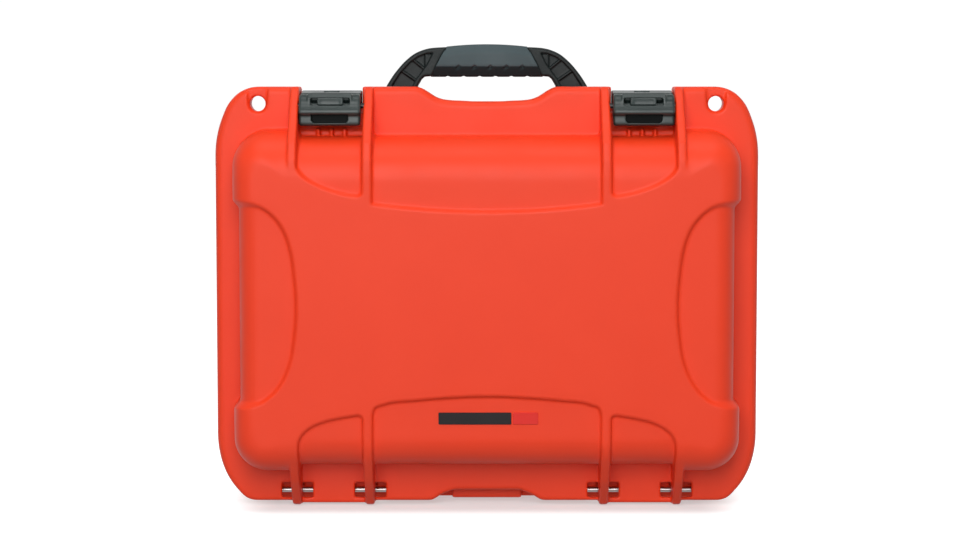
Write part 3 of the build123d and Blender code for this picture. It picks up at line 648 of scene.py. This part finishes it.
# ------------------------------------------------------------------ latches
def hull_poly(c0, r0, c1, r1, n=40):
    pts = [(c0[0] + r0 * math.cos(a), c0[1] + r0 * math.sin(a)) for a in np.linspace(0, 2 * math.pi, n, endpoint=False)]
    pts += [(c1[0] + r1 * math.cos(a), c1[1] + r1 * math.sin(a)) for a in np.linspace(0, 2 * math.pi, n, endpoint=False)]
    pts = sorted(set(pts))

    def half(seq):
        out = []
        for p in seq:
            while len(out) > 1 and (out[-1][0] - out[-2][0]) * (p[1] - out[-2][1]) - (out[-1][1] - out[-2][1]) * (p[0] - out[-2][0]) <= 0:
                out.pop()
            out.append(p)
        return out[:-1]

    return half(pts) + half(pts[::-1])


def latch_field(h, sg):
    F = Field((-25.2, -97, 301), (25.2, -71, 331), h)
    sl, (X, Y, Z) = F.at(None)
    roll = poly2(hull_poly((LPY, LPZ), 9.4, (-89.4, 306.3), 2.9), Y, Z)
    ridge = poly2([(-86, 319.6), (-91.0, 319.4), (-92.2, 317.6), (-94.6, 315.8), (-95.0, 314.0), (-93.6, 312.2), (-90, 311.6), (-86, 312.4)], Y, Z) - 0.2
    body = rint(runi(roll, ridge, 1.6), np.abs(X) - 24.2, 2.2)
    house = poly2([(-84, 318), (-90.6, 319.5), (-90.4, 325.2), (-88.0, 328.0), (-84.5, 328.3)], Y, Z) - 0.3
    house = rint(house, np.abs(X) - 17.8 + 0.9 * np.maximum(Z - 322.0, 0) * 0.0, 1.2)
    F.d = np.broadcast_to(runi(body, house, 0.6), F.d.shape).copy()
    # hollow of the roll, open at the back
    F.cut(lambda X, Y, Z: np.maximum(np.hypot(Y - LPY, Z - LPZ) - 6.4, np.abs(X) - 19.8), None, 0.4)
    F.cut_box([(-19.8, 19.8), (-83, -60), (290, 340)], edge=0.5)
    F.cut_box([(-16.5, 16.5), (-86.8, -60), (324.4, 340)], edge=0.5)
    # slot with round ends for the slide lock
    F.cut(lambda X, Y, Z: np.maximum(rrect(X, Z, -0.35 * sg, 322.5, 15.4, 2.95, 1.4), np.abs(Y + 91) - 5), None, 0.3)
    # finger pocket under the ridge, with clipped lower corners
    def pocket(X, Y, Z):
        p = poly2([(-14.4, 312.3), (14.4, 312.3), (14.4, 308.0), (12.6, 305.7), (-12.6, 305.7), (-14.4, 308.0)], X, Z)
        return np.maximum(p, Y - (-87.0))
    F.cut(pocket, None, 0.5)
    F.add_rod(0, (LPY, LPZ), 2.8, -20, 20)
    for s in (-1, 1):
        F.add_rod(0, (LPY, LPZ + 5.6), 2.8, min(s * 15.7, s * 20), max(s * 15.7, s * 20))
    F.cut_rod(0, (LPY, LPZ), 2.05, -30, 30)
    F.cut_rod(0, (LPY, LPZ + 5.6), 1.3, -22, 22)
    return F


def slide_field(h, sg):
    F = Field((-11.6, -93.6, 318.4), (11.6, -86, 329), h)
    sl, (X, Y, Z) = F.at(None)
    F.d = np.broadcast_to(box3(X + 0.5 * sg, Y, Z, [(-10.2, 10.2), (-92.2, -87.2), (319.8, 325.4)], 0.9), F.d.shape).copy()
    # shallow thumb dish
    F.cut(lambda X, Y, Z: np.hypot(np.maximum(np.abs(X + 0.5 * sg) - 6.2, 0), np.hypot(Y + 95.6, (Z - 322.6) * 0.8)) - 3.9, None, 0.6)
    return F


def claw_field(h, sg):
    cz = LPZ + 5.6
    F = Field((-25.2, -86.4, cz - 7.6), (25.2, -48.6, cz + 8), h)
    sl, (X, Y, Z) = F.at(None)
    arm = poly2([(LPY, cz - 2.2), (-68, cz - 2.2), (-68, cz + 4), (-71.8, cz + 3.8), (-78, cz + 2.2), (LPY, cz + 2.2)], Y, Z)
    arm = np.maximum(np.minimum(arm, np.hypot(Y - LPY, Z - cz) - 2.7), np.abs(X) - 15.2)
    plate = poly2([(-71.8, cz - 6.0), (-69.4, cz - 6.0), (-68.4, cz + 0.6), (-54.5, cz + 1.6), (-53.6, cz - 5.2), (-50.8, cz - 5.2),
                   (-50.0, cz + 4.6), (-51.6, cz + 6.2), (-54, cz + 6.4), (-71.0, cz + 4.4), (-71.8, cz + 3.6)], Y, Z)
    plate = rint(plate, np.abs(X) - 24.0, 0.9)
    F.d = np.broadcast_to(np.minimum(arm, plate), F.d.shape).copy()
    F.cut_box([(-6, 6), (-66, -58), (cz - 9, cz + 12)], 1.5, edge=0.5)
    F.cut_rod(0, (LPY, cz), 1.35, -20, 20)
    return F


hl = 0.34
for side, sg in (("left", -1), ("right", 1)):
    for kind, fld, keep in (("body", latch_field, 0.5), ("slide", slide_field, 0.6), ("claw", claw_field, 0.35)):
        F = fld(hl if kind != "claw" else hl * 1.3, sg)
        F.soften(1)
        me = F.mesh("latch_%s_%s" % (kind, side), keep)
        co = np.zeros(len(me.vertices) * 3, np.float32)
        me.vertices.foreach_get("co", co)
        co[0::3] += sg * LEVX * MM
        me.vertices.foreach_set("co", co)
        me.update()
        body = {"body": "lever_", "slide": "slide_", "claw": "claw_"}[kind] + side
        put("latch_%s_%s_moulding" % (kind, side), me, body, ["latch_%s_%s" % (kind, side)], MAT["latch_black"])

# ------------------------------------------------------------------ handle
LEG = [(-81.6, 322.8), (-80.8, 334.2)] + curve([(-80.8, 334.2), (-72.8, 346.2), (-64.8, 355.0), (-58.1, 360.2), (-50.1, 363.6), (-33.4, 365.5)],
                                             (0.5, 0.85), (1, 0.05))[1:] + [(-32.0, 365.5), (-44.0, 342.2), (-50.1, 341.7), (-52.4, 339.6), (-55.5, 334.2), (-55.9, 322.8)]
POCKET = [(-76.4, 328.5), (-76.0, 335.0), (-69.4, 345.2), (-61.6, 353.4), (-55.4, 357.8), (-48.5, 360.4), (-43.2, 360.9), (-47.6, 352.2),
          (-52.6, 345.0), (-56.6, 340.0), (-59.6, 334.0), (-59.8, 328.5)]


def frame_field(h):
    F = Field((0, -42.5, 302), (84, -21.5, 368), h, mirror=True)
    sl, (X, Y, Z) = F.at(None)
    o = poly2([(-x, z) for x, z in LEG], X, Z)
    F.d = np.broadcast_to(rint(o, np.abs(Y + 32) - 8.0, 2.2), F.d.shape).copy()
    p = poly2([(-x, z) for x, z in POCKET], X, Z)
    F.cut(lambda X, Y, Z: np.maximum(p, 4.6 - np.abs(Y + 32)), None, 0.6)
    # two stiffening ribs in each pocket
    for (x0, z0), (x1, z1) in (((71.5, 348.8), (52.0, 335.4)), ((62.5, 358.0), (45.5, 344.4))):
        L = math.hypot(x1 - x0, z1 - z0)
        nx, nz = -(z1 - z0) / L, (x1 - x0) / L
        F.add(lambda X, Y, Z, nx=nx, nz=nz, x0=x0, z0=z0: np.maximum(np.maximum(np.abs((X - x0) * nx + (Z - z0) * nz) - 0.9, o + 1.0), np.abs(Y + 32) - 7.0), None)
    F.add(lambda X, Y, Z: np.maximum(rint(np.minimum(np.hypot(Y + 32, Z - 312) - 8.8, rrect(Y, Z, -32, 318.5, 7.5, 6.5, 0.5)), np.abs(X - 68.1) - 9.6, 0.8), -1e3),
          [(52, 84), None, (300, 330)])
    F.add_box([(-50, 50), (-38, -26), (348, 360)], 1.0)
    F.cut_rod(0, (-32.0, 312.0), 2.55, 50, 90)
    return F


def grip_field(h):
    F = Field((0, -43.4, 339), (47, -20.6, 369), h, mirror=True)
    sl, (X, Y, Z) = F.at(None)
    top = 367.85 - 1.95 * (np.abs(X) / 33.0) ** 2
    y = np.abs(Y + 32)
    # faceted section: crown, upper front face, lower face falling away
    def face(y0, z0, y1, z1, dz):
        L = math.hypot(y1 - y0, z1 - z0)
        return ((y - y0) * (z1 - z0) - (Z - dz - z0) * (y1 - y0)) / L
    drop = top - 367.85
    f_top = Z - top
    f_ch = -face(5.0, 367.85, 9.3, 361.4, drop)
    f_fr = -face(9.3, 361.4, 10.2, 350.4, 0.0)
    f_lo = -face(10.2, 350.4, 4.2, 341.0, 0.0)
    d = rint(f_ch, f_top, 1.6)
    d = rint(d, f_fr, 0.7)
    d = rint(d, f_lo, 0.9)
    d = rint(d, 341.6 - Z, 1.5)
    # slanted ends against the legs
    e = ((X - 33.2) * (364.9 - 342.2) + (Z - 364.9) * (45.2 - 33.2)) / math.hypot(22.7, 12.0)
    d = rint(d, e, 0.5)
    F.d = np.broadcast_to(d, F.d.shape).copy()
    return F


def grip_mesh(h):
    F = Field((-47, -43.4, 339), (47, -20.6, 369), h)
    G = grip_field(h)
    # unfold the mirrored half, then cut the slanted grooves that don't mirror
    full = np.concatenate([G.d[4:][:0:-1], G.d[4:]], axis=0)
    F.lo[0] = -h * ((full.shape[0] - 1) // 2)
    F.ax[0] = (F.lo[0] + h * np.arange(full.shape[0])).astype(np.float32)
    F.lo[1:], F.ax[1], F.ax[2] = G.lo[1:], G.ax[1], G.ax[2]
    F.d = full
    for k in (-2, -1, 0, 1, 2):
        c = 12.8 * k + 0.6
        a = math.radians(38)

        def groove(X, Y, Z, c=c, a=a):
            u = (X - c) * math.cos(a) - (Z - 346.5) * math.sin(a)
            v = (X - c) * math.sin(a) + (Z - 346.5) * math.cos(a)
            across = np.hypot(u, np.abs(Y + 32) - 9.6) - 1.5
            return rint(across, np.abs(v) - 5.2, 1.0)

        F.cut(groove, [(c - 9, c + 9), None, (338, 356)], 0.5)
    for k in (-2.5, -1.5, -0.5, 0.5, 1.5, 2.5):       # finger ripples underneath
        F.cut_rod(1, (12.8 * k + 0.6, 339.7), 2.6, -45, -20)
    F.cut_box([(-46, 46), (-38, -26), (348, 360)])
    return F


hh = 0.5
F = frame_field(hh)
F.soften(1)
put("handle_frame_moulding", F.mesh("handle_frame_moulding", 0.5), "handle", ["handle_frame"], MAT["handle_black"])
F = grip_mesh(0.42)
F.soften(1)
put("handle_grip_moulding", F.mesh("handle_grip_moulding", 0.4), "handle", ["handle_grip"], MAT["grip_grey"])
del F

# ------------------------------------------------------------------ CAD nodes that stay: their materials
SLOT = {s["node"]: s["material_slot"] for s in frame["record"]["subparts"]}
for n, o in frame["nodes"].items():
    o.data.materials.clear()
    o.data.materials.append(MAT[SLOT[n]])

# ------------------------------------------------------------------ floor, light, camera
def emissive(name, strength, diffuse=0.0):
    m = bpy.data.materials.new(name)
    m.use_nodes = True
    nt = m.node_tree
    nt.nodes.clear()
    out = nt.nodes.new("ShaderNodeOutputMaterial")
    em = node(nt, "ShaderNodeEmission", in_Color=(1, 1, 1, 1), in_Strength=strength)
    if diffuse:
        # painted contact shadow: the emission falls to 0.46 round the case's footprint; the diffuse part adds the real
        # cast shadow
        tc = node(nt, "ShaderNodeTexCoord")
        ab = node(nt, "ShaderNodeVectorMath", operation="ABSOLUTE")
        nt.links.new(tc.outputs["Object"], ab.inputs[0])
        sb = node(nt, "ShaderNodeVectorMath", operation="SUBTRACT")
        nt.links.new(ab.outputs[0], sb.inputs[0])
        sb.inputs[1].default_value = (0.165, 0.085, 0.01)
        mx = node(nt, "ShaderNodeVectorMath", operation="MAXIMUM")
        nt.links.new(sb.outputs[0], mx.inputs[0])
        mx.inputs[1].default_value = (0, 0, 0)
        ln = node(nt, "ShaderNodeVectorMath", operation="LENGTH")
        nt.links.new(mx.outputs[0], ln.inputs[0])
        painted_contact_shadow = node(nt, "ShaderNodeMapRange", interpolation_type="SMOOTHSTEP")
        painted_contact_shadow.inputs["From Min"].default_value = 0.0
        painted_contact_shadow.inputs["From Max"].default_value = 0.06
        painted_contact_shadow.inputs["To Min"].default_value = 0.46
        painted_contact_shadow.inputs["To Max"].default_value = strength
        nt.links.new(ln.outputs["Value"], painted_contact_shadow.inputs["Value"])
        nt.links.new(painted_contact_shadow.outputs["Result"], em.inputs["Strength"])
        df = node(nt, "ShaderNodeBsdfDiffuse", in_Color=(diffuse, diffuse, diffuse, 1))
        add = nt.nodes.new("ShaderNodeAddShader")
        nt.links.new(em.outputs[0], add.inputs[0])
        nt.links.new(df.outputs[0], add.inputs[1])
        nt.links.new(add.outputs[0], out.inputs["Surface"])
    else:
        nt.links.new(em.outputs[0], out.inputs["Surface"])
    return m


def stage_object(name, verts, faces, mat, smooth=False):
    me = bpy.data.meshes.new(name)
    me.from_pydata(verts, [], faces)
    me.materials.append(mat)
    o = bpy.data.objects.new(name, me)
    bpy.context.scene.collection.objects.link(o)
    o.visible_diffuse = False
    return o


FL = 7.0
stage_object("floor", [(-FL, -FL, -0.0006), (FL, -FL, -0.0006), (FL, FL, -0.0006), (-FL, FL, -0.0006)], [(0, 1, 2, 3)],
             emissive("floor_white", 0.95, 0.5))
ring = [(9 * math.cos(a), 9 * math.sin(a)) for a in np.linspace(0, 2 * math.pi, 48, endpoint=False)]
wall_v = [(x, y, -0.3) for x, y in ring] + [(x, y, 7.0) for x, y in ring]
wall = stage_object("backdrop", wall_v, [(i, (i + 1) % 48, 48 + (i + 1) % 48, 48 + i) for i in range(48)], emissive("backdrop_white", 1.02))
wall.visible_shadow = False

world = bpy.data.worlds.new("studio")
bpy.context.scene.world = world
world.use_nodes = True
wn = world.node_tree
bg = wn.nodes["Background"]
tc = wn.nodes.new("ShaderNodeTexCoord")
sx = wn.nodes.new("ShaderNodeSeparateXYZ")
wn.links.new(tc.outputs["Generated"], sx.inputs[0])
up = wn.nodes.new("ShaderNodeMapRange")
up.interpolation_type = "SMOOTHSTEP"
up.inputs["From Min"].default_value = -0.35
up.inputs["From Max"].default_value = 0.45
up.inputs["To Min"].default_value = 0.34
up.inputs["To Max"].default_value = 0.50
wn.links.new(sx.outputs["Z"], up.inputs["Value"])
ab = wn.nodes.new("ShaderNodeMath")
ab.operation = "ABSOLUTE"
wn.links.new(sx.outputs["X"], ab.inputs[0])
sd = wn.nodes.new("ShaderNodeMapRange")
sd.interpolation_type = "SMOOTHSTEP"
sd.inputs["From Min"].default_value = 0.3
sd.inputs["From Max"].default_value = 1.0
sd.inputs["To Min"].default_value = 1.0
sd.inputs["To Max"].default_value = 0.16
wn.links.new(ab.outputs[0], sd.inputs["Value"])
mu = wn.nodes.new("ShaderNodeMath")
mu.operation = "MULTIPLY"
wn.links.new(up.outputs["Result"], mu.inputs[0])
wn.links.new(sd.outputs["Result"], mu.inputs[1])
wn.links.new(mu.outputs[0], bg.inputs["Strength"])
bg.inputs["Color"].default_value = (1, 1, 1, 1)


def area(name, loc, target, size, power, color=(1, 1, 1)):
    l = bpy.data.lights.new(name, "AREA")
    l.shape = "RECTANGLE"
    l.size, l.size_y = size
    l.energy = power
    l.color = color
    o = bpy.data.objects.new(name, l)
    o.location = loc
    o.rotation_euler = (Vector(target) - Vector(loc)).to_track_quat("-Z", "Y").to_euler()
    bpy.context.scene.collection.objects.link(o)
    return o


area("key", (-0.16, -1.9, 1.0), (0, -0.1, 0.2), (1.1, 1.5), 28.5)
area("top", (0, -0.35, 2.1), (0, 0, 0.2), (1.5, 0.9), 11)

TH = math.radians(4.7)
cam = bpy.data.cameras.new("camera")
co = bpy.data.objects.new("camera", cam)
bpy.context.scene.collection.objects.link(co)
cam.sensor_width = 36.0
cam.lens = 2512.0 * 36.0 / 978.0
co.location = (0.0, (-72.0 - 2000 * math.cos(TH)) * MM, (182 + 2.5 + 2000 * math.sin(TH)) * MM)
co.rotation_euler = (math.radians(90) - TH, 0, 0)
cam.shift_x = (489.0 - 486.8) / 978.0
cam.clip_end = 50
bpy.context.scene.camera = co

bpy.context.scene.view_settings.view_transform = "Standard"
